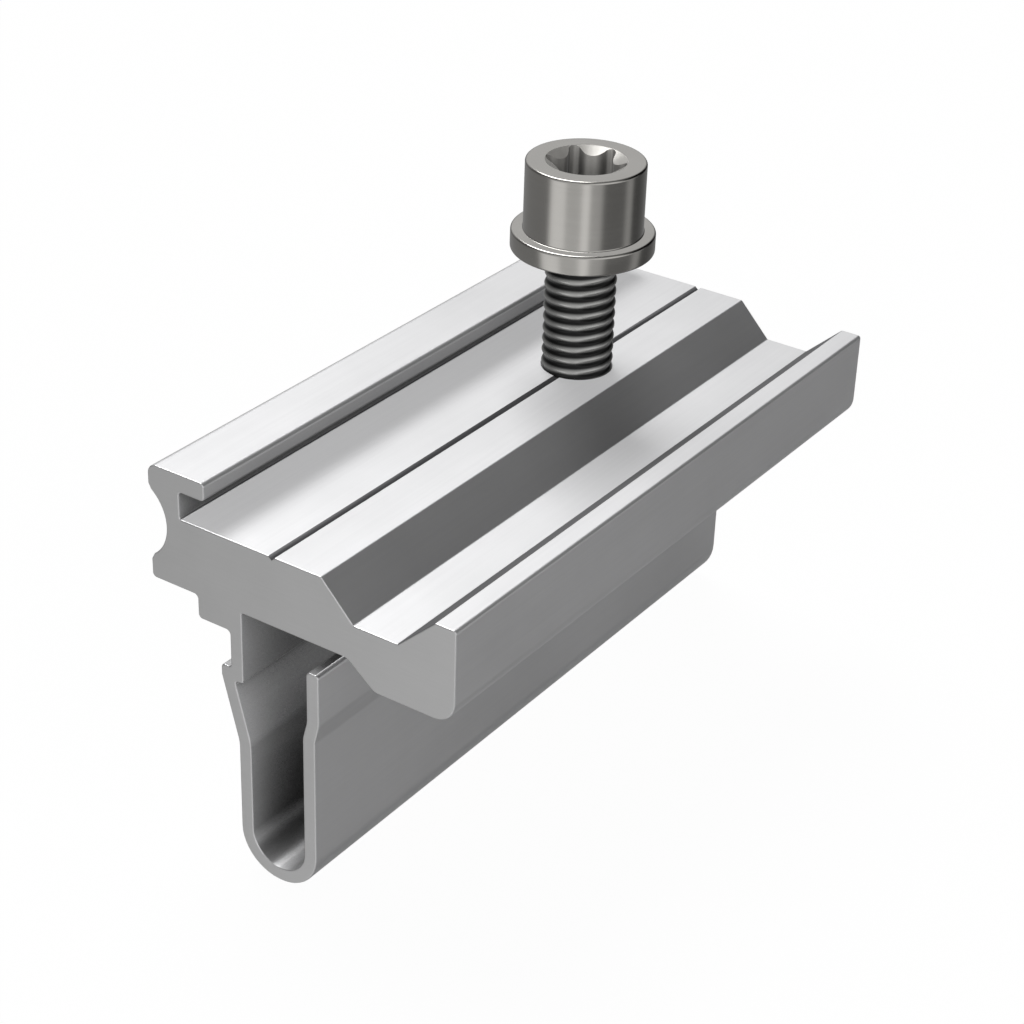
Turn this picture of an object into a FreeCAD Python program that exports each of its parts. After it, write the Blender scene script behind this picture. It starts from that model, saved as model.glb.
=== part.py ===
import FreeCAD, Part
import math
import os

os.makedirs("parts", exist_ok=True)

# End clamp for a solar panel frame: one aluminium extrusion with a spring foot that
# clicks into the slot of a mounting rail, and one collar-head screw threaded down
# through it. All sizes are in millimetres.
#
# Frame: X across the section with the nose at +X, Y along the extrusion, Z up.
# The origin lies on the plane of the rail's top face, where the two seats rest,
# on the line of the screw's axis and at the middle of the cut length.

# Cut length and place of the screw along it
clamp_length = 80.0
screw_from_face = 53.3

# Screw with an integral collar
thread_diameter = 8.0
thread_length = 20.0
thread_showing = 14.15
tip_chamfer = 1.0
collar_diameter = 15.9
collar_thickness = 2.3
collar_edge = 0.3
collar_root = 0.2
head_diameter = 13.2
head_height = 7.9
head_edge = 0.35

# Six-lobe socket in the head
lobe_diameter = 8.9
waist_diameter = 6.36
lobe_radius = 0.75
lobe_turn = 22.0
socket_depth = 4.6
socket_mouth = 8.96
socket_mouth_slope = 30.0

# Clearances
thread_clearance = 0.05
lip_clearance = 0.45

# Threaded plate, lip channel and back of the section
plate_thickness = 7.95
channel_depth = 3.3
channel_height = 3.08
lip_thickness = 2.02
lip_nose = 0.5
back_thickness = 3.97
back_crown = 1.15
drill_line_width = 0.8
drill_line_depth = 0.35

# Long hollow along the back face
hollow_radius = 4.65
hollow_depth = 2.17
hollow_drop = 1.5

# Shelf, trough and nose on the other side of the screw
shelf_reach = 6.05
trough_depth = 4.0
trough_slope_inner = 3.88
trough_floor = 5.27
trough_slope_outer = 4.3
nose_top = 2.44
nose_edge = 0.4
nose_round = 2.5
web_reach = 9.15
web_slope = 3.3

# Seats on the rail
seat_drop = 2.65
seat_block_width = 4.1

# Spring foot
foot_wall = 1.55
foot_depth = 28.45
lower_gap = 6.77
lower_offset = 0.115
barb_drop = 4.35
barb_reach = 1.3
barb_face = 1.25
barb_slope = 7.5
notch_drop = 1.45
leg_top_drop = 1.0
leg_step_top = 6.95
leg_step_height = 2.15

# Corner radii of the extrusion
fine_round = 0.25
crease_round = 0.3
inner_round = 0.4
seat_round = 0.5
slope_round = 1.5
bend_round = 4.0
step_round = 2.5
leg_tip_round = 0.45

# Levels worked out from the sizes above
floor_z = plate_thickness + seat_drop
lip_under_z = floor_z + channel_height
lip_top_z = lip_under_z + lip_thickness
plate_under_z = seat_drop
trough_z = floor_z - trough_depth
shoulder_z = -barb_drop
barb_low_z = shoulder_z - barb_face
notch_z = shoulder_z - notch_drop
foot_z = -foot_depth

# Places across the section
lip_tip_x = -(collar_diameter / 2 + lip_clearance)
channel_x = lip_tip_x - channel_depth
back_x = channel_x - back_thickness
trough_in_x = shelf_reach + trough_slope_inner
trough_out_x = trough_in_x + trough_floor
nose_in_x = trough_out_x + trough_slope_outer
nose_x = nose_in_x + nose_top
upper_half_gap = thread_diameter / 2 + thread_clearance
stem_x = -(upper_half_gap + foot_wall)
leg_x = upper_half_gap + foot_wall
barb_x = stem_x - barb_reach
lower_in_left = lower_offset - lower_gap / 2
lower_in_right = lower_offset + lower_gap / 2
lower_out_left = lower_in_left - foot_wall
lower_out_right = lower_in_right + foot_wall
bend_radius = lower_gap / 2
bend_z = foot_z + bend_radius + foot_wall

# Screw levels at rest, and its place along the extrusion
screw_y = screw_from_face - clamp_length / 2
collar_z = floor_z + thread_showing
head_z = collar_z + collar_thickness
head_top_z = head_z + head_height


def corner(before, point, after, radius):
    """Returns the two tangent points and the middle of the arc that rounds a corner."""
    ax, az = before[0] - point[0], before[1] - point[1]
    bx, bz = after[0] - point[0], after[1] - point[1]
    la, lb = math.hypot(ax, az), math.hypot(bx, bz)
    ax, az, bx, bz = ax / la, az / la, bx / lb, bz / lb
    half = math.acos(max(-1.0, min(1.0, ax * bx + az * bz))) / 2
    reach = min(radius / math.tan(half), 0.49 * la, 0.49 * lb)
    radius = reach * math.tan(half)
    start = (point[0] + ax * reach, point[1] + az * reach)
    end = (point[0] + bx * reach, point[1] + bz * reach)
    mx, mz = ax + bx, az + bz
    lm = math.hypot(mx, mz)
    deep = radius / math.sin(half) - radius
    middle = (point[0] + mx / lm * deep, point[1] + mz / lm * deep)
    return start, middle, end


def section_face(outline, y):
    """Face in the plane Y = y from corners (x, z, radius); radius 0 keeps a corner sharp."""
    place = lambda p: FreeCAD.Vector(p[0], y, p[1])
    edges = []
    joints = []
    for index, (x, z, radius) in enumerate(outline):
        if radius > 0:
            before, after = outline[index - 1], outline[(index + 1) % len(outline)]
            joints.append(corner(before, (x, z), after, radius))
        else:
            joints.append(((x, z), None, (x, z)))
    for index, (start, middle, end) in enumerate(joints):
        if middle is not None:
            edges.append(Part.Arc(place(start), place(middle), place(end)).toShape())
        following = joints[(index + 1) % len(joints)][0]
        if math.dist(end, following) > 1e-6:
            edges.append(Part.LineSegment(place(end), place(following)).toShape())
    return Part.Face(Part.Wire(edges))


def upper_outline():
    """Lip channel, threaded plate, shelf, trough, nose and the two seats on the rail."""
    return [
        (back_x, lip_top_z, back_crown),
        (lip_tip_x, lip_top_z, lip_nose),
        (lip_tip_x, lip_under_z, lip_nose),
        (channel_x, lip_under_z, inner_round),
        (channel_x, floor_z, fine_round),
        (-drill_line_width / 2, floor_z, 0),
        (0, floor_z - drill_line_depth, 0),
        (drill_line_width / 2, floor_z, 0),
        (shelf_reach, floor_z, crease_round),
        (trough_in_x, trough_z, crease_round),
        (trough_out_x, trough_z, crease_round),
        (nose_in_x, floor_z, fine_round),
        (nose_x, floor_z, nose_edge),
        (nose_x, 0, nose_round),
        (web_reach + web_slope, 0, slope_round),
        (web_reach, plate_under_z, slope_round),
    ]


def foot_outline():
    """Stem with its barb, the bend at the bottom and the free leg, as one bent wall."""
    slope_turn = math.atan2(lower_out_left - barb_x, barb_slope)
    slope_low_z = barb_low_z - barb_slope
    slope_in_z = slope_low_z + foot_wall * math.tan(slope_turn / 2)
    notch_x = lower_in_left - (notch_z - slope_in_z) * math.tan(slope_turn)
    step_low_z = -leg_step_top - leg_step_height
    inner_side = [
        (-upper_half_gap, plate_under_z, fine_round),
        (-upper_half_gap, notch_z, inner_round),
        (notch_x, notch_z, inner_round),
        (lower_in_left, slope_in_z, bend_round),
        (lower_in_left, foot_z + foot_wall, bend_radius),
        (lower_in_right, foot_z + foot_wall, bend_radius),
        (lower_in_right, step_low_z, step_round),
        (upper_half_gap, -leg_step_top, step_round),
        (upper_half_gap, -leg_top_drop, leg_tip_round),
    ]
    outer_side = [
        (leg_x, -leg_top_drop, leg_tip_round),
        (leg_x, -leg_step_top, step_round),
        (lower_out_right, step_low_z, step_round),
        (lower_out_right, foot_z, bend_radius + foot_wall),
        (lower_out_left, foot_z, bend_radius + foot_wall),
        (lower_out_left, slope_low_z, bend_round),
        (barb_x, barb_low_z, inner_round),
        (barb_x, shoulder_z, inner_round),
        (stem_x, shoulder_z, inner_round),
    ]
    return inner_side + outer_side


def seat_outline():
    """Seat block beside the stem and the low edge of the back."""
    return [
        (stem_x, 0, seat_round),
        (stem_x - seat_block_width, 0, seat_round),
        (stem_x - seat_block_width, plate_under_z, seat_round),
        (back_x, plate_under_z, seat_round),
    ]


def long_edges(shape, places):
    """Edges that run along Y through the given (x, z) places."""
    found = []
    for edge in shape.Edges:
        middle = edge.CenterOfMass
        along = abs(edge.tangentAt(edge.FirstParameter).y) > 0.99
        near = any(math.hypot(middle.x - x, middle.z - z) < 0.02 for x, z in places)
        if along and near:
            found.append(edge)
    return found


def clamp_body():
    """The extrusion: its section drawn out, hollowed along the back and bored."""
    near_y = -clamp_length / 2
    face = section_face(upper_outline() + foot_outline() + seat_outline(), near_y)
    bar = face.extrude(FreeCAD.Vector(0, clamp_length, 0))

    along = FreeCAD.Vector(0, 1, 0)
    hollow_z = floor_z - hollow_drop
    hollow_x = back_x + hollow_depth - hollow_radius
    start = FreeCAD.Vector(hollow_x, near_y, hollow_z)
    bar = bar.cut(Part.makeCylinder(hollow_radius, clamp_length, start, along))
    half_mouth = math.sqrt(hollow_radius ** 2 - (back_x - hollow_x) ** 2)
    mouth = [(back_x, hollow_z + half_mouth), (back_x, hollow_z - half_mouth)]
    bar = bar.makeFillet(inner_round, long_edges(bar, mouth))

    bore_at = FreeCAD.Vector(0, screw_y, plate_under_z)
    return bar.cut(Part.makeCylinder(upper_half_gap, plate_thickness, bore_at))


def six_lobe_wire(z):
    """Closed wire of six lobes joined by six hollow flanks, tangent all round."""
    waist = waist_diameter / 2
    lobe_at = lobe_diameter / 2 - lobe_radius
    lean = math.cos(math.pi / 6)
    rise = lobe_radius ** 2 - lobe_at ** 2 - waist ** 2 + 2 * lobe_at * waist * lean
    flank_radius = rise / (2 * (waist - lobe_at * lean - lobe_radius))
    flank_at = waist + flank_radius
    share = lobe_radius / (lobe_radius + flank_radius)

    def at(radius, angle):
        return FreeCAD.Vector(radius * math.cos(angle), radius * math.sin(angle), z)

    def tangent_point(lobe, flank):
        lobe_centre = at(lobe_at, lobe)
        return lobe_centre + (at(flank_at, flank) - lobe_centre) * share

    edges = []
    for index in range(6):
        lobe = math.radians(lobe_turn) + index * math.pi / 3
        left, right, following = lobe - math.pi / 6, lobe + math.pi / 6, lobe + math.pi / 3
        start, end = tangent_point(lobe, left), tangent_point(lobe, right)
        edges.append(Part.Arc(start, at(lobe_at + lobe_radius, lobe), end).toShape())
        follow = tangent_point(following, right)
        edges.append(Part.Arc(end, at(waist, right), follow).toShape())
    return Part.Wire(edges)


def clamp_screw():
    """The screw: one turned outline about its axis, with the socket sunk in the head."""
    thread, collar, head = thread_diameter / 2, collar_diameter / 2, head_diameter / 2
    tip_z = collar_z - thread_length
    outline = [
        (0, tip_z, 0),
        (thread - tip_chamfer, tip_z, 0),
        (thread, tip_z + tip_chamfer, 0),
        (thread, collar_z, 0),
        (collar, collar_z, collar_edge),
        (collar, head_z, collar_edge),
        (head, head_z, collar_root),
        (head, head_top_z, head_edge),
        (0, head_top_z, 0),
    ]
    turned = section_face(outline, 0).revolve(FreeCAD.Vector(), FreeCAD.Vector(0, 0, 1), 360)

    floor = head_top_z - socket_depth
    socket = Part.Face(six_lobe_wire(floor)).extrude(FreeCAD.Vector(0, 0, socket_depth + 1))
    mouth = socket_mouth / 2
    sink_depth = mouth * math.tan(math.radians(socket_mouth_slope))
    sink = Part.makeCone(0, mouth, sink_depth, FreeCAD.Vector(0, 0, head_top_z - sink_depth))
    screw = turned.cut(socket).cut(sink)
    screw.translate(FreeCAD.Vector(0, screw_y, 0))
    return screw


def save(name, shape):
    """Writes one piece, joined into clean faces, as its own STEP file."""
    shape = shape.removeSplitter()
    shape.exportStep("parts/" + name + ".step")
    box = shape.BoundBox
    print(name, shape.isValid(), len(shape.Solids), round(shape.Volume, 1))
    print("  X", round(box.XMin, 2), round(box.XMax, 2), "Z", round(box.ZMin, 2), round(box.ZMax, 2))


save("clamp_body", clamp_body())
save("clamp_screw", clamp_screw())
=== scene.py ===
"""Solar panel end clamp: an aluminium extrusion with a spring foot, and its collar-head screw."""
import logging
import math
from dataclasses import dataclass, replace
from enum import Enum
from typing import Callable, NamedTuple, Optional, Sequence, Union

import bmesh
import bpy
from mathutils import Matrix, Vector


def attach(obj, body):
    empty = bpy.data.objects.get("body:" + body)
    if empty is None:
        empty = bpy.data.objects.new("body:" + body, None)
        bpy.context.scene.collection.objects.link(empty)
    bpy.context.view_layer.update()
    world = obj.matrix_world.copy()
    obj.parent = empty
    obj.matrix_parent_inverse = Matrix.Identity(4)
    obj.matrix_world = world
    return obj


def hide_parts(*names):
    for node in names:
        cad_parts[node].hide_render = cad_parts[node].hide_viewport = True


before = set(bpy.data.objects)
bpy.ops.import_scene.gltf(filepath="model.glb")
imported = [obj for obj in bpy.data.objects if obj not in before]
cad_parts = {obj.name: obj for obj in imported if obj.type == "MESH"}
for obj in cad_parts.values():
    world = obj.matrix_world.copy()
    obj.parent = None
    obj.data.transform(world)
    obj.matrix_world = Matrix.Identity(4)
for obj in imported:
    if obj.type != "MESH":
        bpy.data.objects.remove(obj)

LOG = logging.getLogger("end_clamp")
MM = 0.001
FULL_TURN = 2.0 * math.pi
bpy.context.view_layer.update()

# Where the screw stands along the extrusion, and how thick it is
SCREW_PLACE_MM = 13.3
THREAD_RADIUS_MM = 4.0
# The most of a side of an outline that the arc of one of its corners may take
LONGEST_REACH = 0.49
# The cosine below which a sharp corner of an outline moves inwards no further
SHARPEST_INSET = 0.5
# A ring of points this near the screw's axis is a single point
ON_AXIS_MM = 1e-6
# The bearing where a ring of walls starts and ends
SEAM = 180.0
# The colour sockets of a Mix node, by number, because other sockets share their names
MIX_SHARE, MIX_LOW, MIX_HIGH, MIX_RESULT = 0, 6, 7, 2


class Axis(Enum):
    """The direction in which a finish keeps its marks long and unbroken."""

    ALONG_EXTRUSION = 1
    AROUND_SCREW = 2
    ACROSS_SAW_CUT = 3


class Corner(NamedTuple):
    """One corner of an outline in millimetres, with the radius that rounds it."""

    across: float
    up: float
    radius: float = 0.0


Point = tuple[float, float]
Socket = bpy.types.NodeSocket
SocketKey = Union[str, int]
AroundAxis = Callable[[float], float]
RingShapes = tuple[list[AroundAxis], list[AroundAxis]]


def linear(hex_colour: str) -> tuple[float, float, float, float]:
    """Turns an sRGB hex colour into the linear values that a shader takes.

    Args:
        hex_colour: Six hex digits, such as "c8cacc".

    Returns:
        Linear red, green and blue with an alpha of one.
    """
    channels = [int(hex_colour[i:i + 2], 16) / 255 for i in (0, 2, 4)]
    curve = [c / 12.92 if c <= 0.04045 else ((c + 0.055) / 1.055) ** 2.4 for c in channels]
    return (curve[0], curve[1], curve[2], 1.0)


def add_node(
    tree: bpy.types.NodeTree,
    kind: str,
    settings: Optional[dict[str, object]] = None,
    values: Optional[dict[SocketKey, object]] = None,
    links: Optional[dict[SocketKey, Socket]] = None,
) -> bpy.types.Node:
    """Adds one shader node with its settings, socket values and incoming links.

    Args:
        tree: The node tree that gets the node.
        kind: Blender's name of the node type.
        settings: Node properties by name.
        values: Input values by the socket's name or number.
        links: Output sockets of other nodes, by the name or number of the input they feed.

    Returns:
        The new node.
    """
    node = tree.nodes.new(kind)
    for name, value in (settings or {}).items():
        setattr(node, name, value)
    for name, value in (values or {}).items():
        node.inputs[name].default_value = value
    for name, socket in (links or {}).items():
        tree.links.new(socket, node.inputs[name])
    return node


def mixed(
    tree: bpy.types.NodeTree, share: Socket, low: Union[str, Socket], high: Union[str, Socket],
) -> Socket:
    """Mixes two colours, each a hex colour or the output of a node.

    Args:
        tree: The node tree that gets the Mix node.
        share: The share of the high colour, from 0 to 1.
        low: The colour where the share is 0.
        high: The colour where the share is 1.

    Returns:
        The colour output.
    """
    ends = {MIX_LOW: low, MIX_HIGH: high}
    values = {at: linear(end) for at, end in ends.items() if isinstance(end, str)}
    links = {at: end for at, end in ends.items() if not isinstance(end, str)}
    links[MIX_SHARE] = share
    node = add_node(tree, "ShaderNodeMix", {"data_type": "RGBA"}, values, links)
    return node.outputs[MIX_RESULT]


def rounded(corners: Sequence[Corner], closed: bool = True, step: float = 9.0) -> list[Point]:
    """Walks an outline and replaces each rounded corner by points on its arc.

    Args:
        corners: The corners in order, in millimetres.
        closed: False keeps the first and last corners as they are.
        step: The largest turn between two points of an arc, in degrees.

    Returns:
        The points of the outline, in millimetres.
    """
    points: list[Point] = []
    count = len(corners)
    for index, corner in enumerate(corners):
        is_end = not closed and index in (0, count - 1)
        if corner.radius <= 0 or is_end:
            points.append((corner.across, corner.up))
            continue
        here = Vector((corner.across, corner.up))
        back = Vector(corners[index - 1][:2]) - here
        ahead = Vector(corners[(index + 1) % count][:2]) - here
        half = back.angle(ahead) / 2
        longest = LONGEST_REACH * min(back.length, ahead.length)
        reach = min(corner.radius / math.tan(half), longest)
        radius = reach * math.tan(half)
        centre = here + (back.normalized() + ahead.normalized()).normalized() * (radius / math.sin(half))
        first = here + back.normalized() * reach - centre
        last = here + ahead.normalized() * reach - centre
        turn = first.angle(last) * (1 if first.x * last.y - first.y * last.x > 0 else -1)
        pieces = max(2, math.ceil(abs(math.degrees(turn)) / step))
        for piece in range(pieces + 1):
            spoke = Matrix.Rotation(turn * piece / pieces, 2) @ first
            points.append((centre.x + spoke.x, centre.y + spoke.y))
    return points


def inset(points: Sequence[Point], amount: float) -> list[Point]:
    """Moves a closed outline inwards by the same amount all round.

    Args:
        points: The outline, clockwise as seen from -Y, in millimetres.
        amount: How far each side moves, in millimetres.

    Returns:
        The inner outline, with as many points.
    """
    moved: list[Point] = []
    for index, point in enumerate(points):
        before = Vector(point) - Vector(points[index - 1])
        after = Vector(points[(index + 1) % len(points)]) - Vector(point)
        left = Vector((before.y, -before.x)).normalized()
        right = Vector((after.y, -after.x)).normalized()
        inward = (left + right).normalized()
        reach = amount / max(SHARPEST_INSET, inward.dot(left))
        moved.append((point[0] + inward.x * reach, point[1] + inward.y * reach))
    return moved


def finish_mesh(name: str, mesh: bpy.types.Mesh, sharp_angle: float) -> bpy.types.Object:
    """Makes a shown object from a mesh, smooth but for edges sharper than an angle.

    Args:
        name: The piece's name.
        mesh: Its mesh, in metres.
        sharp_angle: The angle in degrees above which an edge stays sharp.

    Returns:
        The object, linked to the scene.
    """
    mesh.polygons.foreach_set("use_smooth", [True] * len(mesh.polygons))
    mesh.set_sharp_from_angle(angle=math.radians(sharp_angle))
    piece = bpy.data.objects.new(name, mesh)
    bpy.context.scene.collection.objects.link(piece)
    shade = piece.modifiers.new("flat_faces_lead", "WEIGHTED_NORMAL")
    shade.keep_sharp = True
    shade.weight = 100
    return piece


@dataclass(frozen=True)
class MetalFinish:
    """A bare metal whose worked surface shows fine marks along one direction.

    The marks come from a noise stretched along that direction. It moves the roughness a
    little and lifts the surface by a micrometre or so, so highlights break into fine streaks.
    A finish may also carry painted shade in a thread's valleys, between two distances from the
    screw's axis, or in nooks, from one openness to another, where the reach says how near a
    wall has to be to count.
    """

    name: str
    colour: str
    dark_colour: str
    roughness: float
    roughness_spread: float
    mark_width_mm: float
    mark_stretch: float
    mark_height_mm: float
    cloud_size_mm: float
    metallic: float
    lie: Axis
    valley_shade_colour: str = ""
    valley_mm: tuple[float, float] = (0.0, 0.0)
    nook_reach_mm: float = 0.0
    nook_open: tuple[float, float] = (0.25, 0.75)
    nook_samples: int = 8
    marks_detail: float = 3.0
    marks_grain: float = 0.6
    marks_share: float = 0.6
    cloud_detail: float = 4.0
    cloud_grain: float = 0.55
    noise_range: tuple[float, float] = (0.5, 1.1)

    def stretched(self, tree: bpy.types.NodeTree, at: Socket) -> Socket:
        """Scales the object coordinates so that the marks run along the finish's direction.

        Args:
            tree: The material's node tree.
            at: The object coordinates.

        Returns:
            The scaled coordinates.
        """
        across = 1.0 / (self.mark_width_mm * MM)
        along = across / self.mark_stretch
        scale = {
            Axis.ALONG_EXTRUSION: (across, along, across),
            Axis.AROUND_SCREW: (along, along, across),
            Axis.ACROSS_SAW_CUT: (along, across, across),
        }[self.lie]
        mapping = add_node(tree, "ShaderNodeMapping", values={"Scale": scale}, links={"Vector": at})
        return mapping.outputs["Vector"]

    def painted_valley_shade(self, tree: bpy.types.NodeTree, at: Socket, colour: Socket) -> Socket:
        """Paints shade on the metal between two distances from the screw's axis, so the thread's valleys
        are dark.

        Args:
            tree: The material's node tree.
            at: The object coordinates.
            colour: The colour of the thread's crests.

        Returns:
            The colour output.
        """
        moved = add_node(
            tree, "ShaderNodeMapping",
            values={"Location": (0.0, -SCREW_PLACE_MM * MM, 0.0), "Scale": (1.0, 1.0, 0.0)},
            links={"Vector": at},
        ).outputs["Vector"]
        away = add_node(
            tree, "ShaderNodeVectorMath", {"operation": "LENGTH"}, links={0: moved},
        ).outputs["Value"]
        share = add_node(
            tree, "ShaderNodeMapRange", {"interpolation_type": "SMOOTHSTEP"},
            {"From Min": self.valley_mm[0] * MM, "From Max": self.valley_mm[1] * MM},
            {"Value": away},
        ).outputs["Result"]
        # Painted shade: the colour goes to the dark valley colour towards the thread's root
        return mixed(tree, share, self.valley_shade_colour, colour)

    def painted_nook_shade(self, tree: bpy.types.NodeTree, colour: Socket) -> Socket:
        """Paints shade on the metal where little of the room reaches it, as in the deep hollow of the
        foot.

        Args:
            tree: The material's node tree.
            colour: The colour in the open.

        Returns:
            The colour output.
        """
        openness = add_node(
            tree, "ShaderNodeAmbientOcclusion", {"samples": self.nook_samples, "only_local": True},
            {"Distance": self.nook_reach_mm * MM},
        ).outputs["AO"]
        light = add_node(
            tree, "ShaderNodeMapRange",
            values={"From Min": self.nook_open[0], "From Max": self.nook_open[1]},
            links={"Value": openness},
        ).outputs["Result"]
        # Painted shade: the colour goes towards black where little of the room is open
        return mixed(tree, light, "000000", colour)

    def material(self) -> bpy.types.Material:
        """Builds the finish as a node material.

        Returns:
            The material, ready to go into an object's slot.
        """
        made = bpy.data.materials.new(self.name)
        made.use_nodes = True
        tree = made.node_tree
        shader = tree.nodes["Principled BSDF"]
        shader.inputs["Metallic"].default_value = self.metallic
        at = add_node(tree, "ShaderNodeTexCoord").outputs["Object"]
        marks = add_node(
            tree, "ShaderNodeTexNoise",
            values={"Scale": 1.0, "Detail": self.marks_detail, "Roughness": self.marks_grain},
            links={"Vector": self.stretched(tree, at)},
        ).outputs["Fac"]
        cloud = add_node(
            tree, "ShaderNodeTexNoise",
            values={
                "Scale": 1.0 / (self.cloud_size_mm * MM),
                "Detail": self.cloud_detail,
                "Roughness": self.cloud_grain,
            },
            links={"Vector": at},
        ).outputs["Fac"]
        both = add_node(
            tree, "ShaderNodeMath", {"operation": "MULTIPLY_ADD"},
            {1: self.marks_share}, {0: marks, 2: cloud},
        ).outputs["Value"]
        low, high = self.noise_range
        tint = add_node(
            tree, "ShaderNodeMapRange", values={"From Min": low, "From Max": high},
            links={"Value": both},
        ).outputs["Result"]
        colour = mixed(tree, tint, self.dark_colour, self.colour)
        rough = add_node(
            tree, "ShaderNodeMapRange",
            values={
                "From Min": low,
                "From Max": high,
                "To Min": self.roughness - self.roughness_spread,
                "To Max": self.roughness + self.roughness_spread,
            },
            links={"Value": both},
        ).outputs["Result"]
        bump = add_node(
            tree, "ShaderNodeBump", values={"Strength": 1.0, "Distance": self.mark_height_mm * MM},
            links={"Height": marks},
        ).outputs["Normal"]
        if self.valley_shade_colour:
            colour = self.painted_valley_shade(tree, at, colour)
        if self.nook_reach_mm:
            colour = self.painted_nook_shade(tree, colour)
        tree.links.new(colour, shader.inputs["Base Color"])
        tree.links.new(rough, shader.inputs["Roughness"])
        tree.links.new(bump, shader.inputs["Normal"])
        return made


# Mill-finish aluminium, pushed through a die: bright, soft reflections with faint long lines
MILL_ALUMINIUM = MetalFinish(
    name="mill_finish_aluminium", colour="e2e2e3", dark_colour="dadadb", roughness=0.36,
    roughness_spread=0.02, mark_width_mm=0.35, mark_stretch=60.0, mark_height_mm=0.0005,
    cloud_size_mm=18.0, metallic=0.78, lie=Axis.ALONG_EXTRUSION,
)
# The same surface inside the foot and under the lip, with painted shade where little light comes in
HOLLOW_SHADE_ALUMINIUM = replace(MILL_ALUMINIUM, name="hollow_painted_shade_aluminium", nook_reach_mm=12.0)
# Aluminium cut by a saw and tumbled: the same metal, greyer and flatter, with short cut marks
SAWN_ALUMINIUM = MetalFinish(
    name="sawn_aluminium", colour="c9c9c9", dark_colour="c1c1c1", roughness=0.5,
    roughness_spread=0.03, mark_width_mm=0.25, mark_stretch=30.0, mark_height_mm=0.001,
    cloud_size_mm=9.0, metallic=1.0, lie=Axis.ACROSS_SAW_CUT,
)
# The drill line and the flank inside the nose: the same metal, duller, with painted shade that darkens
# it
GROOVE_SHADE_ALUMINIUM = MetalFinish(
    name="groove_painted_shade_aluminium", colour="6e6e70", dark_colour="58585a", roughness=0.5,
    roughness_spread=0.03, mark_width_mm=0.35, mark_stretch=60.0, mark_height_mm=0.0005,
    cloud_size_mm=18.0, metallic=0.5, lie=Axis.ALONG_EXTRUSION,
)
# Stainless steel, cold headed and thread rolled: warm grey, darker than aluminium, soft streaks
STAINLESS_STEEL = MetalFinish(
    name="stainless_steel", colour="aeaca8", dark_colour="a6a4a0", roughness=0.2,
    roughness_spread=0.02, mark_width_mm=0.3, mark_stretch=25.0, mark_height_mm=0.0004,
    cloud_size_mm=6.0, metallic=1.0, lie=Axis.AROUND_SCREW,
)
# The rolled thread of the same screw, with painted shade that makes it nearly black in its valleys
THREAD_WITH_VALLEY_SHADE = MetalFinish(
    name="thread_with_painted_valley_shade", colour="b2b2b0", dark_colour="9e9e9c", roughness=0.28,
    roughness_spread=0.02, mark_width_mm=0.3, mark_stretch=25.0, mark_height_mm=0.0004,
    cloud_size_mm=6.0, metallic=0.8, lie=Axis.AROUND_SCREW,
    valley_shade_colour="1c1c1c", valley_mm=(3.8, THREAD_RADIUS_MM),
)
# The punched socket: duller than the turned head, with painted light that makes it paler and painted
# shade that darkens it with depth
SOCKET_LIGHT_AND_SHADE = MetalFinish(
    name="socket_painted_light_and_shade", colour="b4b2ae", dark_colour="a2a09c", roughness=0.38,
    roughness_spread=0.04, mark_width_mm=0.3, mark_stretch=0.1, mark_height_mm=0.002,
    cloud_size_mm=2.0, metallic=0.6, lie=Axis.AROUND_SCREW, nook_reach_mm=6.0, nook_open=(0.1, 0.8),
)


def hide_mirror_images(piece: bpy.types.Object) -> None:
    """Keeps an object out of all reflections, because the photograph's metal mirrors none.

    Args:
        piece: A finished piece, or the floor.
    """
    piece.visible_glossy = False


def dress(
    mesh: bpy.types.Mesh,
    finishes: Sequence[MetalFinish],
    finish_of: Callable[[bpy.types.MeshPolygon], MetalFinish],
) -> None:
    """Gives each face of a mesh its finish.

    Args:
        mesh: The mesh, whose own materials are dropped.
        finishes: All the finishes that the mesh shows.
        finish_of: Picks one of them for a face.
    """
    mesh.materials.clear()
    for finish in finishes:
        mesh.materials.append(finish.material())
    slots = {finish.name: index for index, finish in enumerate(finishes)}
    for face in mesh.polygons:
        face.material_index = slots[finish_of(face).name]


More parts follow.
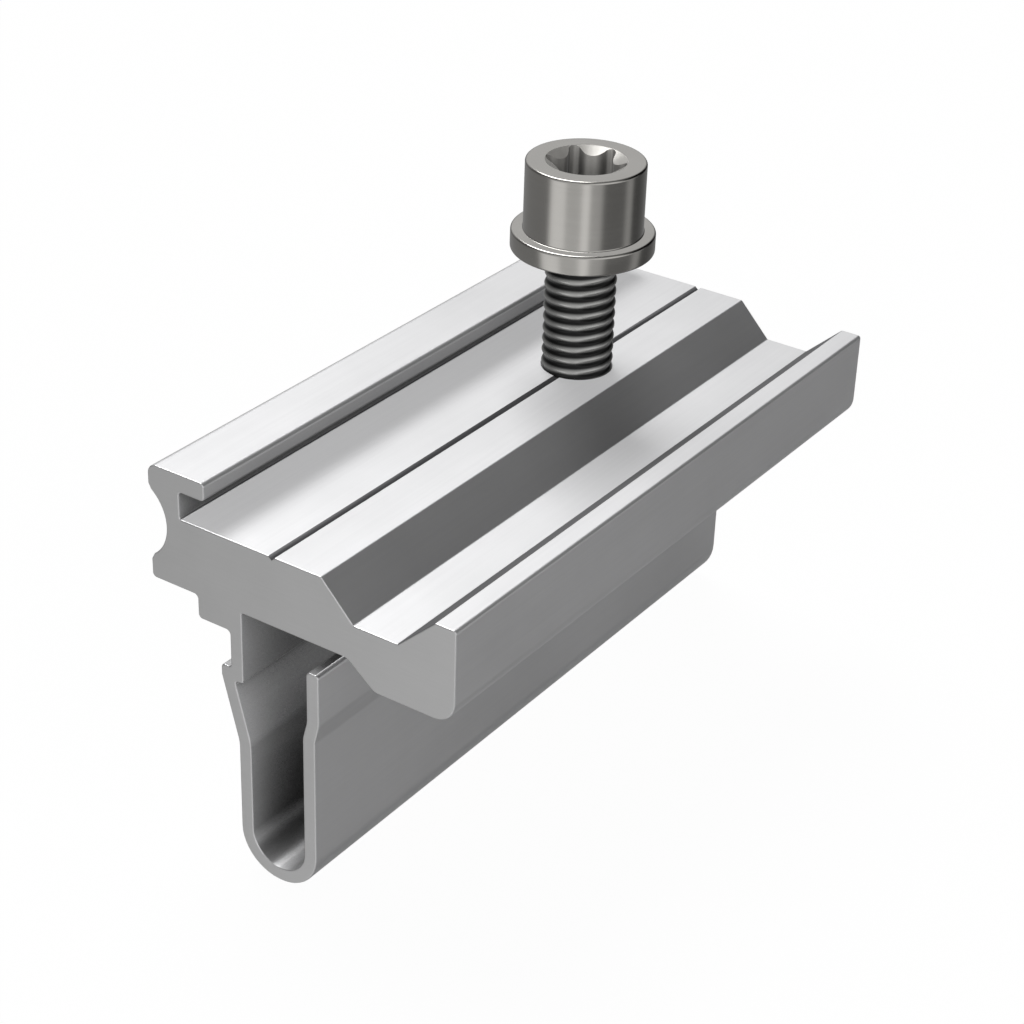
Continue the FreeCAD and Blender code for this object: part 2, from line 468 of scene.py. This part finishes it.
@dataclass(frozen=True)
class ClampBody:
    """The aluminium extrusion: lip channel, threaded plate, trough, nose and spring foot.

    All sizes are in millimetres, in the frame of the part: X across with the nose at +X,
    Y along the extrusion and Z up from the plane of the rail's top face. Names that end in
    "from" are the least parts of a face's normal along an axis with which it counts as such.
    """

    length: float = 80.0
    cut_edge: float = 0.14
    plate_thickness: float = 7.95
    seat_drop: float = 2.65
    thread_clearance: float = 0.05
    bore_overshoot: float = 1.0
    bore_sides: int = 128
    lip_tip: float = 8.4
    channel_depth: float = 3.3
    channel_height: float = 3.08
    lip_thickness: float = 2.02
    lip_nose: float = 0.5
    back_thickness: float = 3.97
    back_crown: float = 1.15
    drill_line_width: float = 0.8
    drill_line_depth: float = 0.35
    hollow_radius: float = 4.65
    hollow_depth: float = 2.17
    hollow_drop: float = 1.5
    shelf_reach: float = 6.05
    trough_depth: float = 4.0
    trough_slope_inner: float = 3.88
    trough_floor: float = 5.27
    trough_slope_outer: float = 4.3
    nose_top: float = 2.44
    nose_edge: float = 0.4
    nose_round: float = 2.5
    web_reach: float = 9.15
    web_slope: float = 3.3
    seat_block_width: float = 4.1
    foot_wall: float = 1.55
    foot_depth: float = 28.45
    lower_gap: float = 6.77
    lower_offset: float = 0.115
    barb_drop: float = 4.35
    barb_reach: float = 1.3
    barb_face: float = 1.25
    barb_slope: float = 7.5
    notch_drop: float = 1.45
    leg_top_drop: float = 1.0
    leg_step_top: float = 6.95
    leg_step_height: float = 2.15
    fine_round: float = 0.25
    crease_round: float = 0.3
    inner_round: float = 0.4
    seat_round: float = 0.5
    slope_round: float = 1.5
    bend_round: float = 4.0
    step_round: float = 2.5
    leg_tip_round: float = 0.45
    sharp_angle: float = 50.0
    sloped_from: float = 0.3
    upright_from: float = 0.5
    roof_from: float = 0.7
    cut_from: float = 0.9
    roof_margin: float = 0.1
    hollow_widening: float = 1.0

    @property
    def floor(self) -> float:
        """Height of the plate's top face, in millimetres."""
        return self.plate_thickness + self.seat_drop

    @property
    def half_gap(self) -> float:
        """Half the gap in the foot that the screw passes through, in millimetres."""
        return THREAD_RADIUS_MM + self.thread_clearance

    @property
    def back(self) -> float:
        """Place of the back face across the section, in millimetres."""
        return -(self.lip_tip + self.channel_depth + self.back_thickness)

    def upper_corners(self) -> list[Corner]:
        """Corners of the lip channel, plate, shelf, trough and nose.

        Returns:
            The corners in order, from the lip to the web.
        """
        floor = self.floor
        under = floor + self.channel_height
        top = under + self.lip_thickness
        channel = self.back + self.back_thickness
        trough = floor - self.trough_depth
        trough_in = self.shelf_reach + self.trough_slope_inner
        trough_out = trough_in + self.trough_floor
        nose_in = trough_out + self.trough_slope_outer
        nose = nose_in + self.nose_top
        return [
            Corner(-self.lip_tip, top, self.lip_nose),
            Corner(-self.lip_tip, under, self.lip_nose),
            Corner(channel, under, self.inner_round),
            Corner(channel, floor, self.fine_round),
            Corner(-self.drill_line_width / 2, floor),
            Corner(0.0, floor - self.drill_line_depth),
            Corner(self.drill_line_width / 2, floor),
            Corner(self.shelf_reach, floor, self.crease_round),
            Corner(trough_in, trough, self.crease_round),
            Corner(trough_out, trough, self.crease_round),
            Corner(nose_in, floor, self.fine_round),
            Corner(nose, floor, self.nose_edge),
            Corner(nose, 0.0, self.nose_round),
            Corner(self.web_reach + self.web_slope, 0.0, self.slope_round),
            Corner(self.web_reach, self.seat_drop, self.slope_round),
        ]

    def foot_corners(self) -> list[Corner]:
        """Corners of the stem, barb, bend and free leg.

        Returns:
            The corners in order, down the inside of the foot and up its outside.
        """
        wall, gap = self.foot_wall, self.half_gap
        shoulder = -self.barb_drop
        barb_low = shoulder - self.barb_face
        slope_low = barb_low - self.barb_slope
        notch = shoulder - self.notch_drop
        in_left = self.lower_offset - self.lower_gap / 2
        in_right = self.lower_offset + self.lower_gap / 2
        barb = -(gap + wall + self.barb_reach)
        turn = math.atan2(in_left - wall - barb, self.barb_slope)
        slope_in = slope_low + wall * math.tan(turn / 2)
        notch_across = in_left - (notch - slope_in) * math.tan(turn)
        step_low = -self.leg_step_top - self.leg_step_height
        bend = self.lower_gap / 2
        return [
            Corner(-gap, self.seat_drop, self.fine_round),
            Corner(-gap, notch, self.inner_round),
            Corner(notch_across, notch, self.inner_round),
            Corner(in_left, slope_in, self.bend_round),
            Corner(in_left, wall - self.foot_depth, bend),
            Corner(in_right, wall - self.foot_depth, bend),
            Corner(in_right, step_low, self.step_round),
            Corner(gap, -self.leg_step_top, self.step_round),
            Corner(gap, -self.leg_top_drop, self.leg_tip_round),
            Corner(gap + wall, -self.leg_top_drop, self.leg_tip_round),
            Corner(gap + wall, -self.leg_step_top, self.step_round),
            Corner(in_right + wall, step_low, self.step_round),
            Corner(in_right + wall, -self.foot_depth, bend + wall),
            Corner(in_left - wall, -self.foot_depth, bend + wall),
            Corner(in_left - wall, slope_low, self.bend_round),
            Corner(barb, barb_low, self.inner_round),
            Corner(barb, shoulder, self.inner_round),
            Corner(-(gap + wall), shoulder, self.inner_round),
        ]

    def seat_corners(self) -> list[Corner]:
        """Corners of the seat block beside the stem and of the back's low edge.

        Returns:
            The corners in order, from the stem to the back.
        """
        stem = -(self.half_gap + self.foot_wall)
        block = stem - self.seat_block_width
        return [
            Corner(stem, 0.0, self.seat_round),
            Corner(block, 0.0, self.seat_round),
            Corner(block, self.seat_drop, self.seat_round),
            Corner(self.back, self.seat_drop, self.seat_round),
        ]

    def hollow_points(self, step: float = 6.0) -> list[Point]:
        """Points of the long hollow in the back, from its low mouth to its high one.

        Args:
            step: The largest turn between two points of its arc, in degrees.

        Returns:
            The points in millimetres.
        """
        centre = (self.back + self.hollow_depth - self.hollow_radius, self.floor - self.hollow_drop)
        half = math.acos((self.back - centre[0]) / self.hollow_radius)
        pieces = math.ceil(math.degrees(2 * half) / step)
        ease = self.inner_round / self.hollow_radius
        points = [(self.back, centre[1] - self.hollow_radius * math.sin(half) - self.inner_round)]
        for piece in range(pieces + 1):
            angle = -half + ease + (2 * half - 2 * ease) * piece / pieces
            points.append((
                centre[0] + self.hollow_radius * math.cos(angle),
                centre[1] + self.hollow_radius * math.sin(angle),
            ))
        points.append((self.back, centre[1] + self.hollow_radius * math.sin(half) + self.inner_round))
        return points

    def outline(self) -> list[Point]:
        """The whole section as a closed outline.

        Returns:
            Its points in millimetres, clockwise as seen from -Y.
        """
        crown = Corner(self.back, self.floor + self.channel_height + self.lip_thickness, self.back_crown)
        around = self.upper_corners() + self.foot_corners() + self.seat_corners()
        low, *arc, high = self.hollow_points()
        chain = [Corner(*high), crown, *around, Corner(*low)]
        return rounded(chain, closed=False) + arc

    def drawn_mesh(self) -> bpy.types.Mesh:
        """Draws the section out along Y, with a fine broken edge round both cuts.

        Returns:
            The mesh in metres.
        """
        outline = self.outline()
        half, edge = self.length / 2, self.cut_edge
        lean = 1.0 - math.sqrt(0.5)
        rings = [
            (-half, inset(outline, edge)),
            (-half + edge * lean, inset(outline, edge * lean)),
            (-half + edge, outline),
            (half - edge, outline),
            (half - edge * lean, inset(outline, edge * lean)),
            (half, inset(outline, edge)),
        ]
        work = bmesh.new()
        rows = [[work.verts.new((x * MM, y * MM, z * MM)) for x, z in points] for y, points in rings]
        for near, far in zip(rows[:-1], rows[1:]):
            for index in range(len(outline)):
                following = (index + 1) % len(outline)
                work.faces.new((near[index], near[following], far[following], far[index]))
        for row in (rows[0], rows[-1]):
            work.faces.new(row)
        bmesh.ops.recalc_face_normals(work, faces=work.faces)
        mesh = bpy.data.meshes.new("clamp_extrusion")
        work.to_mesh(mesh)
        work.free()
        return mesh

    def bored(self, mesh: bpy.types.Mesh) -> bpy.types.Mesh:
        """Cuts the screw's bore through the plate.

        Args:
            mesh: The drawn section.

        Returns:
            A new mesh with the bore in it.
        """
        radius = self.half_gap
        low, high = self.seat_drop - self.bore_overshoot, self.floor + self.bore_overshoot
        profile = [(0.0, low), (radius, low), (radius, high), (0.0, high)]
        cutter = turned_piece("bore_cutter", profile, self.bore_sides)
        body = bpy.data.objects.new("drawn_section", mesh)
        bpy.context.scene.collection.objects.link(body)
        cut = body.modifiers.new("bore", "BOOLEAN")
        cut.object = cutter
        cut.operation = "DIFFERENCE"
        cut.solver = "EXACT"
        graph = bpy.context.evaluated_depsgraph_get()
        result = bpy.data.meshes.new_from_object(body.evaluated_get(graph))
        bpy.data.objects.remove(cutter)
        bpy.data.objects.remove(body)
        return result

    def in_shade(self, face: bpy.types.MeshPolygon) -> bool:
        """Tells whether a face lines the hollow of the foot or stands upright in the lip channel.

        Args:
            face: A face of the finished mesh.

        Returns:
            True where the face looks into one of the two.
        """
        across, up = face.center.x / MM, face.center.z / MM
        upright = abs(face.normal.x) > self.upright_from
        if up > self.floor:
            return upright and face.normal.x > 0
        above_roof = up > self.seat_drop + self.roof_margin
        if above_roof or abs(across) > self.half_gap + self.hollow_widening:
            return False
        looks_in = upright and face.normal.x * across < 0
        lies_low = face.normal.z > self.sloped_from and up < 0
        hangs_over = face.normal.z < -self.roof_from and up > 0 and abs(across) < self.half_gap
        return looks_in or lies_low or hangs_over

    def finish_of(self, face: bpy.types.MeshPolygon) -> MetalFinish:
        """Picks the finish of a face.

        Args:
            face: A face of the finished mesh.

        Returns:
            The finish with painted shade in the drill line and nose flank, the cuts, the finish with
            painted shade in the hollows, or the rest.
        """
        across, along = face.center.x / MM, face.center.y / MM
        sloped = abs(face.normal.x) > self.sloped_from and face.normal.z > self.sloped_from
        in_drill_line = abs(across) < self.drill_line_width / 2
        on_nose_flank = face.normal.x < 0 and across > self.shelf_reach
        # Sloped faces in the drill line and on the nose flank take the finish with painted shade
        if sloped and (in_drill_line or on_nose_flank):
            return GROOVE_SHADE_ALUMINIUM
        if abs(face.normal.y) > self.cut_from and abs(along) > (self.length - self.cut_edge) / 2:
            return SAWN_ALUMINIUM
        # Faces in the foot's hollow and the lip channel take the finish with painted shade
        return HOLLOW_SHADE_ALUMINIUM if self.in_shade(face) else MILL_ALUMINIUM

    def build(self) -> bpy.types.Object:
        """Builds and dresses the extrusion, in place of the plain solid.

        Returns:
            The finished piece.
        """
        mesh = self.bored(self.drawn_mesh())
        piece = finish_mesh("clamp_extrusion", mesh, self.sharp_angle)
        finishes = (MILL_ALUMINIUM, SAWN_ALUMINIUM, GROOVE_SHADE_ALUMINIUM, HOLLOW_SHADE_ALUMINIUM)
        dress(mesh, finishes, self.finish_of)
        hide_mirror_images(piece)
        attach(piece, "clamp")
        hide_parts("clamp_body")
        return piece


def turned_piece(name: str, profile: Sequence[Point], sides: int) -> bpy.types.Object:
    """Turns an open profile about the screw's axis.

    Args:
        name: Name of the new object.
        profile: Points (radius, height) from the low end of the axis to its high end.
        sides: How many steps make the full turn.

    Returns:
        A closed solid object.
    """
    radii = [lambda _, r=r: r for r, _ in profile]
    heights = [lambda _, z=z: z for _, z in profile]
    mesh = ring_mesh(name, radii, heights, sides)
    piece = bpy.data.objects.new(name, mesh)
    bpy.context.scene.collection.objects.link(piece)
    return piece


def ring_mesh(
    name: str,
    radii: Sequence[AroundAxis],
    heights: Sequence[AroundAxis],
    sides: int,
) -> bpy.types.Mesh:
    """Builds a closed skin round the screw's axis, from rings that may change with the angle.

    Args:
        name: Name of the mesh.
        radii: One function of the angle for each ring, in millimetres; 0 closes an end.
        heights: The height of each ring, as a function of the angle.
        sides: How many steps make the full turn.

    Returns:
        The mesh in metres.
    """
    work = bmesh.new()
    rows: list[list[bmesh.types.BMVert]] = []
    angles = [FULL_TURN * side / sides for side in range(sides)]
    for radius, height in zip(radii, heights):
        if radius(0.0) < ON_AXIS_MM:
            rows.append([work.verts.new((0.0, SCREW_PLACE_MM * MM, height(0.0) * MM))])
            continue
        row = []
        for a in angles:
            across, along = radius(a) * math.cos(a), SCREW_PLACE_MM + radius(a) * math.sin(a)
            row.append(work.verts.new((across * MM, along * MM, height(a) * MM)))
        rows.append(row)
    for low, high in zip(rows[:-1], rows[1:]):
        for side in range(sides):
            after = (side + 1) % sides
            loop = [
                low[side % len(low)], low[after % len(low)],
                high[after % len(high)], high[side % len(high)],
            ]
            corners = list(dict.fromkeys(loop))
            if len(corners) > 2:
                work.faces.new(corners)
    bmesh.ops.recalc_face_normals(work, faces=work.faces)
    mesh = bpy.data.meshes.new(name)
    work.to_mesh(mesh)
    work.free()
    return mesh


@dataclass(frozen=True)
class ClampScrew:
    """The screw: rolled thread, integral collar and round head with a six-lobe socket.

    Sizes are in millimetres, and "floor" is the height of the plate's top face. The thread
    winds up to the right, at the pitch that the photograph shows.
    """

    floor: float
    root_radius: float = 3.72
    pitch: float = 1.345
    thread_turn: float = 0.36
    crest_flat: float = 0.04
    flank_easing: float = 0.45
    thread_length: float = 20.0
    thread_showing: float = 14.15
    tip_chamfer: float = 1.0
    run_out: float = 0.9
    collar_radius: float = 7.95
    collar_thickness: float = 2.3
    collar_edge: float = 0.3
    collar_root: float = 0.15
    head_radius: float = 6.6
    head_height: float = 7.9
    head_edge: float = 0.3
    lobes: int = 6
    lobe_reach: float = 4.45
    waist_reach: float = 3.18
    lobe_round: float = 0.75
    lobe_turn: float = 22.0
    socket_depth: float = 4.6
    socket_dish: float = 0.8
    mouth_radius: float = 4.48
    mouth_slope: float = 30.0
    mouth_rings: int = 4
    sides: int = 240
    rows_per_turn: int = 20
    edge_step: float = 15.0
    sharp_angle: float = 24.0
    thread_margin: float = 0.01

    @property
    def collar(self) -> float:
        """Height of the collar's underside, in millimetres."""
        return self.floor + self.thread_showing

    @property
    def ledge(self) -> float:
        """Height of the collar's top, in millimetres."""
        return self.collar + self.collar_thickness

    def lobed_radius(self, angle: float) -> float:
        """Radius of the socket's wall at an angle: a lobe's arc or the flank between two.

        Args:
            angle: The angle about the axis, in radians.

        Returns:
            The radius in millimetres.
        """
        sector = FULL_TURN / self.lobes
        turned = (angle - math.radians(self.lobe_turn) + sector / 2) % sector - sector / 2
        off = abs(turned)
        lobe_at, waist, lobe = self.lobe_reach - self.lobe_round, self.waist_reach, self.lobe_round
        lean = math.cos(sector / 2)
        rise = lobe ** 2 - lobe_at ** 2 - waist ** 2 + 2 * lobe_at * waist * lean
        flank = rise / (2 * (waist - lobe_at * lean - lobe))
        flank_at = waist + flank
        share = lobe / (lobe + flank)
        touch_x = lobe_at + (flank_at * lean - lobe_at) * share
        touch_y = flank_at * math.sin(sector / 2) * share
        if off < math.atan2(touch_y, touch_x):
            inside = max(0.0, lobe ** 2 - (lobe_at * math.sin(off)) ** 2)
            return lobe_at * math.cos(off) + math.sqrt(inside)
        rest = sector / 2 - off
        inside = max(0.0, flank ** 2 - (flank_at * math.sin(rest)) ** 2)
        return flank_at * math.cos(rest) - math.sqrt(inside)

    def thread_radius_at(self, angle: float, height: float, top: float) -> float:
        """Radius of the thread's skin at an angle and height.

        Args:
            angle: The angle about the axis, in radians.
            height: The height above the tip, in millimetres.
            top: The height where the thread has run out.

        Returns:
            The radius in millimetres.
        """
        phase = (height / self.pitch - angle / FULL_TURN + self.thread_turn) % 1.0
        away = abs(phase - 0.5) * 2
        slope = min(1.0, max(0.0, (away - self.crest_flat) / (1 - 2 * self.crest_flat)))
        smooth = slope * slope * (3 - 2 * slope)
        eased = smooth * self.flank_easing + slope * (1 - self.flank_easing)
        depth = (THREAD_RADIUS_MM - self.root_radius) * eased
        fade = min(1.0, max(0.0, (top - height) / self.run_out))
        chamfer = THREAD_RADIUS_MM - self.tip_chamfer + height
        return min(THREAD_RADIUS_MM - depth * fade, chamfer)

    def shank_rings(self) -> RingShapes:
        """Rings of the tip and thread, from the tip's middle up to the collar.

        Returns:
            The radius and the height of each ring, as functions of the angle.
        """
        tip = self.collar - self.thread_length
        count = math.ceil(self.thread_length / self.pitch * self.rows_per_turn)
        radii: list[AroundAxis] = [lambda _: 0.0]
        heights: list[AroundAxis] = [lambda _: tip]
        for row in range(count + 1):
            height = self.thread_length * row / count
            radii.append(lambda a, h=height: self.thread_radius_at(a, h, self.thread_length))
            heights.append(lambda _, h=height: tip + h)
        return radii, heights

    def head_rings(self) -> RingShapes:
        """Rings of the collar, the head and the socket, down to the socket's middle.

        Returns:
            The radius and the height of each ring, as functions of the angle.
        """
        top = self.ledge + self.head_height
        profile = [
            Corner(THREAD_RADIUS_MM, self.collar),
            Corner(self.collar_radius, self.collar, self.collar_edge),
            Corner(self.collar_radius, self.ledge, self.collar_edge),
            Corner(self.head_radius, self.ledge, self.collar_root),
            Corner(self.head_radius, top, self.head_edge),
            Corner(self.mouth_radius, top),
        ]
        walked = rounded(profile, closed=False, step=self.edge_step)[1:]
        radii: list[AroundAxis] = [lambda _, r=r: r for r, _ in walked]
        heights: list[AroundAxis] = [lambda _, z=z: z for _, z in walked]
        low, steep = top - self.socket_depth, math.tan(math.radians(self.mouth_slope))
        mouth = self.mouth_radius
        for ring in range(1, self.mouth_rings + 1):
            share = ring / self.mouth_rings
            radii.append(lambda a, s=share: mouth - (mouth - self.lobed_radius(a)) * s)
            heights.append(lambda a, s=share: top - (mouth - self.lobed_radius(a)) * s * steep)
        radii.append(self.lobed_radius)
        heights.append(lambda _: low)
        radii.append(lambda _: 0.0)
        heights.append(lambda _: low - self.socket_dish)
        return radii, heights

    def finish_of(self, face: bpy.types.MeshPolygon) -> MetalFinish:
        """Picks the finish of a face.

        Args:
            face: A face of the finished mesh.

        Returns:
            The finish of the thread, the socket or the rest.
        """
        away = math.hypot(face.center.x / MM, face.center.y / MM - SCREW_PLACE_MM)
        up = face.center.z / MM
        if up < self.collar - self.thread_margin:
            return THREAD_WITH_VALLEY_SHADE
        # Socket faces take the finish with painted light and painted shade
        if away < self.mouth_radius and up > self.ledge:
            return SOCKET_LIGHT_AND_SHADE
        return STAINLESS_STEEL

    def build(self) -> bpy.types.Object:
        """Builds and dresses the screw, in place of the plain solid.

        Returns:
            The finished piece.
        """
        shank_radii, shank_heights = self.shank_rings()
        head_radii, head_heights = self.head_rings()
        radii, heights = shank_radii + head_radii, shank_heights + head_heights
        mesh = ring_mesh("collar_screw", radii, heights, self.sides)
        piece = finish_mesh("collar_screw", mesh, self.sharp_angle)
        dress(mesh, (STAINLESS_STEEL, THREAD_WITH_VALLEY_SHADE, SOCKET_LIGHT_AND_SHADE), self.finish_of)
        hide_mirror_images(piece)
        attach(piece, "screw")
        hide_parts("clamp_screw")
        return piece


class Wall(NamedTuple):
    """A plain wall or light of the studio, of one brightness between two bearings.

    Bearings are in degrees, clockwise from +Y. The light fades evenly from each wall to the next.
    """

    name: str
    start: float
    end: float
    light: float


class Storey(NamedTuple):
    """A ring of walls and where it takes over from the ring below, as sines of the height angle."""

    start: float
    end: float
    walls: Sequence[Wall]


# What stands round the clamp below its own height: strip lights, which show as upright bands
# on the screw's head, and dim walls between them
LOW_WALLS = (
    Wall("near_strip_light", -174.0, -150.0, 1.2),
    Wall("left_wall", -140.0, -30.0, 0.3),
    Wall("far_wall", 25.0, 42.0, 0.11),
    Wall("far_strip_light", 50.0, 58.0, 0.5),
    Wall("right_wall", 68.0, 108.0, 0.2),
    Wall("right_strip_light", 118.0, 134.0, 0.65),
    Wall("right_near_strip_light", 140.0, 148.0, 1.3),
    Wall("wall_behind_the_lens", 156.0, 180.0, 0.8),
)
# Level with the clamp: dark opposite the lens and bright to the right
LEVEL_WALLS = (
    Wall("left_wall", -120.0, -60.0, 0.2),
    Wall("far_wall", -30.0, 30.0, 0.0),
    Wall("right_light", 80.0, 120.0, 1.1),
    Wall("wall_behind_the_lens", 180.0, 180.0, 0.75),
)
# Higher up: the same, with a second soft light over the lip
HIGH_WALLS = (
    Wall("left_wall", -120.0, -90.0, 0.15),
    Wall("light_over_the_lip", -60.0, -22.0, 0.8),
    Wall("far_wall", 5.0, 60.0, 0.0),
    Wall("right_light", 90.0, 120.0, 1.1),
    Wall("wall_behind_the_lens", 150.0, 180.0, 0.75),
)
# Overhead: a dim ceiling, the same all round
CEILING = (Wall("ceiling", -180.0, 180.0, 0.2),)
# What stands on the low walls, from below
STOREYS = (
    Storey(-0.26, 0.0, LEVEL_WALLS),
    Storey(0.0, 0.26, HIGH_WALLS),
    Storey(0.62, 0.84, CEILING),
)


@dataclass(frozen=True)
class Studio:
    """White floor, rings of walls and one broad lamp as the light, and the camera.

    Lengths are in millimetres, but for the camera's clipping distances in metres, and angles
    in degrees. The camera stands where it was worked out to be in the photograph.
    """

    floor_height: float = -28.45
    floor_size: float = 3000.0
    eye: tuple[float, float, float] = (127.483, -189.488, 128.113)
    azimuth: float = 33.748
    elevation: float = 29.766
    roll: float = 2.004
    focal_pixels: float = 2371.98
    frame_pixels: float = 1024.0
    sensor: float = 36.0
    clip: tuple[float, float] = (0.01, 20.0)
    floor_glow: float = 0.97
    lamp_bearing: float = -60.0
    lamp_height: float = 60.0
    lamp_spread: float = 35.0
    lamp_strength: float = 2.0

    def camera(self) -> None:
        """Places the camera at the photograph's angle and distance."""
        lens = bpy.data.cameras.new("camera")
        lens.sensor_width = self.sensor
        lens.lens = self.sensor * self.focal_pixels / self.frame_pixels
        lens.clip_start, lens.clip_end = self.clip
        a, e, r = (math.radians(v) for v in (self.azimuth, self.elevation, self.roll))
        back = Vector((math.sin(a) * math.cos(e), -math.cos(a) * math.cos(e), math.sin(e)))
        level = Vector((math.cos(a), math.sin(a), 0.0))
        upright = back.cross(level)
        right = level * math.cos(r) + upright * math.sin(r)
        up = upright * math.cos(r) - level * math.sin(r)
        camera = bpy.data.objects.new("camera", lens)
        camera.rotation_mode = "QUATERNION"
        camera.rotation_quaternion = Matrix((right, up, back)).transposed().to_quaternion()
        camera.location = Vector(self.eye) * MM
        bpy.context.scene.collection.objects.link(camera)
        bpy.context.scene.camera = camera

    def floor(self) -> None:
        """Lays a white floor under the foot, which glows for the camera and shows a faint shadow."""
        half = self.floor_size / 2 * MM
        mesh = bpy.data.meshes.new("floor")
        corners = [(-half, -half), (half, -half), (half, half), (-half, half)]
        mesh.from_pydata([(x, y, self.floor_height * MM) for x, y in corners], [], [(0, 1, 2, 3)])
        floor = bpy.data.objects.new("floor", mesh)
        bpy.context.scene.collection.objects.link(floor)
        paint = bpy.data.materials.new("white_floor")
        paint.use_nodes = True
        tree = paint.node_tree
        shader = tree.nodes["Principled BSDF"]
        shader.inputs["Base Color"].default_value = linear("ffffff")
        shader.inputs["Roughness"].default_value = 1.0
        path = add_node(tree, "ShaderNodeLightPath").outputs["Is Camera Ray"]
        glow = add_node(tree, "ShaderNodeEmission", values={"Color": linear("ffffff"), "Strength": 1.0})
        share = add_node(
            tree, "ShaderNodeMath", {"operation": "MULTIPLY"}, {1: self.floor_glow}, {0: path},
        ).outputs["Value"]
        skin = add_node(
            tree, "ShaderNodeMixShader",
            links={0: share, 1: shader.outputs["BSDF"], 2: glow.outputs["Emission"]},
        ).outputs["Shader"]
        tree.links.new(skin, tree.nodes["Material Output"].inputs["Surface"])
        mesh.materials.append(paint)
        hide_mirror_images(floor)

    def lamp(self) -> None:
        """Hangs a broad lamp high up at the back left, which lights the flat tops most."""
        data = bpy.data.lights.new("broad_lamp", "SUN")
        data.energy = self.lamp_strength
        data.angle = math.radians(self.lamp_spread)
        lamp = bpy.data.objects.new("broad_lamp", data)
        bearing, height = math.radians(self.lamp_bearing), math.radians(self.lamp_height)
        level = math.cos(height)
        toward = Vector((math.sin(bearing) * level, math.cos(bearing) * level, math.sin(height)))
        lamp.rotation_mode = "QUATERNION"
        lamp.rotation_quaternion = toward.to_track_quat("Z", "Y")
        bpy.context.scene.collection.objects.link(lamp)

    def sky(self) -> None:
        """Makes the surroundings: white for the camera, and pale and dark walls for the metal."""
        world = bpy.data.worlds.new("studio")
        world.use_nodes = True
        bpy.context.scene.world = world
        tree = world.node_tree
        back = tree.nodes["Background"]
        at = add_node(tree, "ShaderNodeTexCoord").outputs["Generated"]
        parts = add_node(tree, "ShaderNodeSeparateXYZ", links={"Vector": at})
        around = add_node(
            tree, "ShaderNodeMath", {"operation": "ARCTAN2"},
            links={0: parts.outputs["X"], 1: parts.outputs["Y"]},
        ).outputs["Value"]
        share = add_node(
            tree, "ShaderNodeMapRange", values={"From Min": -math.pi, "From Max": math.pi},
            links={"Value": around},
        ).outputs["Result"]
        walls = self.ring_of(tree, share, LOW_WALLS)
        for storey in STOREYS:
            rise = add_node(
                tree, "ShaderNodeMapRange", values={"From Min": storey.start, "From Max": storey.end},
                links={"Value": parts.outputs["Z"]},
            ).outputs["Result"]
            walls = mixed(tree, rise, walls, self.ring_of(tree, share, storey.walls))
        path = add_node(tree, "ShaderNodeLightPath").outputs["Is Camera Ray"]
        seen = mixed(tree, path, walls, "ffffff")
        tree.links.new(seen, back.inputs["Color"])

    def ring_of(self, tree: bpy.types.NodeTree, at: Socket, walls: Sequence[Wall]) -> Socket:
        """Turns a ring of walls round the clamp into a ramp of greys over the bearing.

        Args:
            tree: The world's node tree.
            at: The share of the turn, from 0 to 1.
            walls: The walls in the order of their bearings, of which the last ends at the seam.

        Returns:
            The colour output.

        Raises:
            ValueError: If a wall starts before the one ahead of it ends.
        """
        for before, wall in zip(walls, walls[1:]):
            if wall.start < before.end:
                raise ValueError(f"{wall.name} starts before {before.name} ends")
        stops = [(-SEAM, walls[-1].light)]
        stops += [(bearing, wall.light) for wall in walls for bearing in (wall.start, wall.end)]
        node = add_node(tree, "ShaderNodeValToRGB", links={"Fac": at})
        ring = node.color_ramp
        ring.interpolation = "LINEAR"
        while len(ring.elements) > 1:
            ring.elements.remove(ring.elements[-1])
        for index, (bearing, grey) in enumerate(stops):
            spot = (bearing + SEAM) / (2 * SEAM)
            element = ring.elements[0] if index == 0 else ring.elements.new(spot)
            element.position = spot
            element.color = (grey, grey, grey, 1.0)
        return node.outputs["Color"]

    def build(self) -> None:
        """Sets up the whole studio."""
        scene = bpy.context.scene
        scene.view_settings.view_transform = "Standard"
        self.camera()
        self.floor()
        self.lamp()
        self.sky()


def main() -> None:
    """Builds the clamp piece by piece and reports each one."""
    logging.basicConfig(level=logging.INFO)
    body = ClampBody()
    for piece in (body.build(), ClampScrew(floor=body.floor).build()):
        LOG.info("%s: %d faces", piece.name, len(piece.data.polygons))
    Studio().build()


if __name__ == "__main__":
    main()
